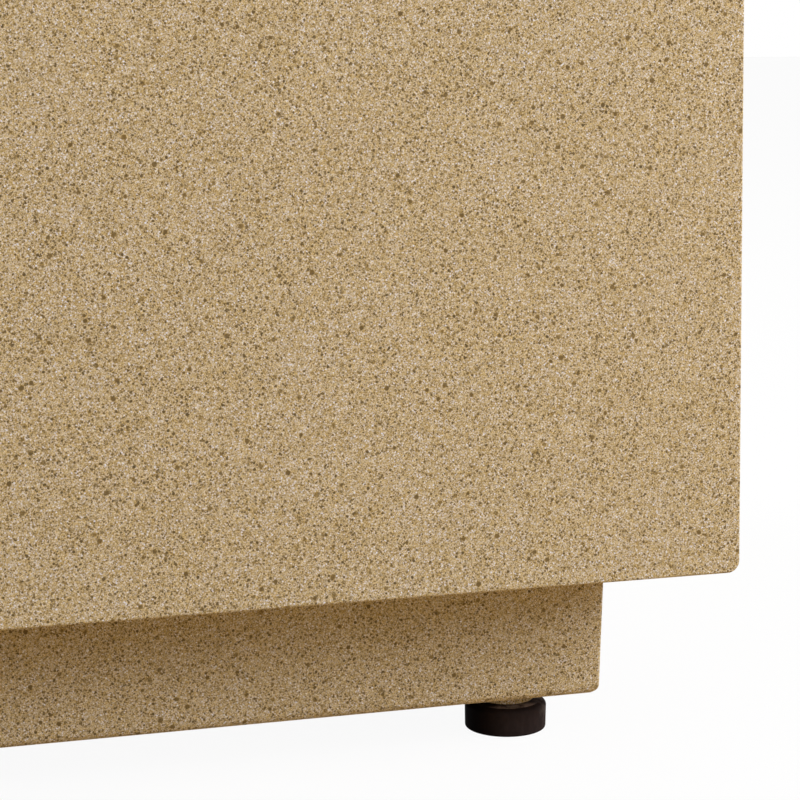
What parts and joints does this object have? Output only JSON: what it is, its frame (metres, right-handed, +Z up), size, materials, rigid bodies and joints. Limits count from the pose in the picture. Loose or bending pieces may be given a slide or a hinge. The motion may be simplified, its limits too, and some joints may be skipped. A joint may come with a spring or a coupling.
{
  "type": "coffee table",
  "caption": "Low rectangular block coffee table cast in speckled sand-coloured stone, on a recessed plinth with screw-adjusted levelling feet.",
  "frame": {"origin": "on the floor under the centre of the table", "axes": "+X along the table's length to its right end, +Y from its front to its back, +Z up"},
  "size_m": [1.1998, 0.6998, 0.4],
  "materials": {
    "cast_stone": "fine speckled cast stone, matt",
    "pad_rubber": "near-black moulded rubber, satin, lightly scuffed",
    "washer_nylon": "black nylon, matt",
    "seal_rubber": "black sealing strip, matt",
    "stud_steel": "zinc-plated steel thread",
    "zinc_steel": "zinc-plated steel"
  },
  "bodies": {
    "table": {"table_shell": "cast_stone", "underside_panel": "cast_stone", "plinth": "cast_stone", "panel_seal": "seal_rubber", "panel_inserts": "zinc_steel", "panel_screws": "zinc_steel", "panel_washers": "zinc_steel", "plinth_inserts": "zinc_steel", "plinth_bolts": "zinc_steel", "plinth_washers": "zinc_steel", "foot_insert_front_left": "zinc_steel", "foot_insert_front_right": "zinc_steel", "foot_insert_back_left": "zinc_steel", "foot_insert_back_right": "zinc_steel"},
    "washer_front_left": {"foot_washer_front_left": "washer_nylon"},
    "foot_front_left": {"foot_stud_front_left": "stud_steel", "foot_pad_front_left": "pad_rubber"},
    "washer_front_right": {"foot_washer_front_right": "washer_nylon"},
    "foot_front_right": {"foot_stud_front_right": "stud_steel", "foot_pad_front_right": "pad_rubber"},
    "washer_back_left": {"foot_washer_back_left": "washer_nylon"},
    "foot_back_left": {"foot_stud_back_left": "stud_steel", "foot_pad_back_left": "pad_rubber"},
    "washer_back_right": {"foot_washer_back_right": "washer_nylon"},
    "foot_back_right": {"foot_stud_back_right": "stud_steel", "foot_pad_back_right": "pad_rubber"}
  },
  "joints": [
    {"name": "foot_travel_front_left", "type": "slide", "parent": "table", "child": "washer_front_left", "axis": [0, 0, 1], "range_m": [-0.015, 0]},
    {"name": "foot_turn_front_left", "type": "hinge", "parent": "washer_front_left", "child": "foot_front_left", "pos_m": [-0.51575, -0.26575, 0.014], "axis": [0, 0, 1], "range_deg": [-3600, 0]},
    {"name": "foot_travel_front_right", "type": "slide", "parent": "table", "child": "washer_front_right", "axis": [0, 0, 1], "range_m": [-0.015, 0]},
    {"name": "foot_turn_front_right", "type": "hinge", "parent": "washer_front_right", "child": "foot_front_right", "pos_m": [0.51575, -0.26575, 0.014], "axis": [0, 0, 1], "range_deg": [-3600, 0]},
    {"name": "foot_travel_back_left", "type": "slide", "parent": "table", "child": "washer_back_left", "axis": [0, 0, 1], "range_m": [-0.015, 0]},
    {"name": "foot_turn_back_left", "type": "hinge", "parent": "washer_back_left", "child": "foot_back_left", "pos_m": [-0.51575, 0.26575, 0.014], "axis": [0, 0, 1], "range_deg": [-3600, 0]},
    {"name": "foot_travel_back_right", "type": "slide", "parent": "table", "child": "washer_back_right", "axis": [0, 0, 1], "range_m": [-0.015, 0]},
    {"name": "foot_turn_back_right", "type": "hinge", "parent": "washer_back_right", "child": "foot_back_right", "pos_m": [0.51575, 0.26575, 0.014], "axis": [0, 0, 1], "range_deg": [-3600, 0]}
  ],
  "couplings": [
    {"joint": "foot_travel_front_left", "follows": "foot_turn_front_left", "m_per_rad": 0.00023873},
    {"joint": "foot_travel_front_right", "follows": "foot_turn_front_right", "m_per_rad": 0.00023873},
    {"joint": "foot_travel_back_left", "follows": "foot_turn_back_left", "m_per_rad": 0.00023873},
    {"joint": "foot_travel_back_right", "follows": "foot_turn_back_right", "m_per_rad": 0.00023873}
  ]
}
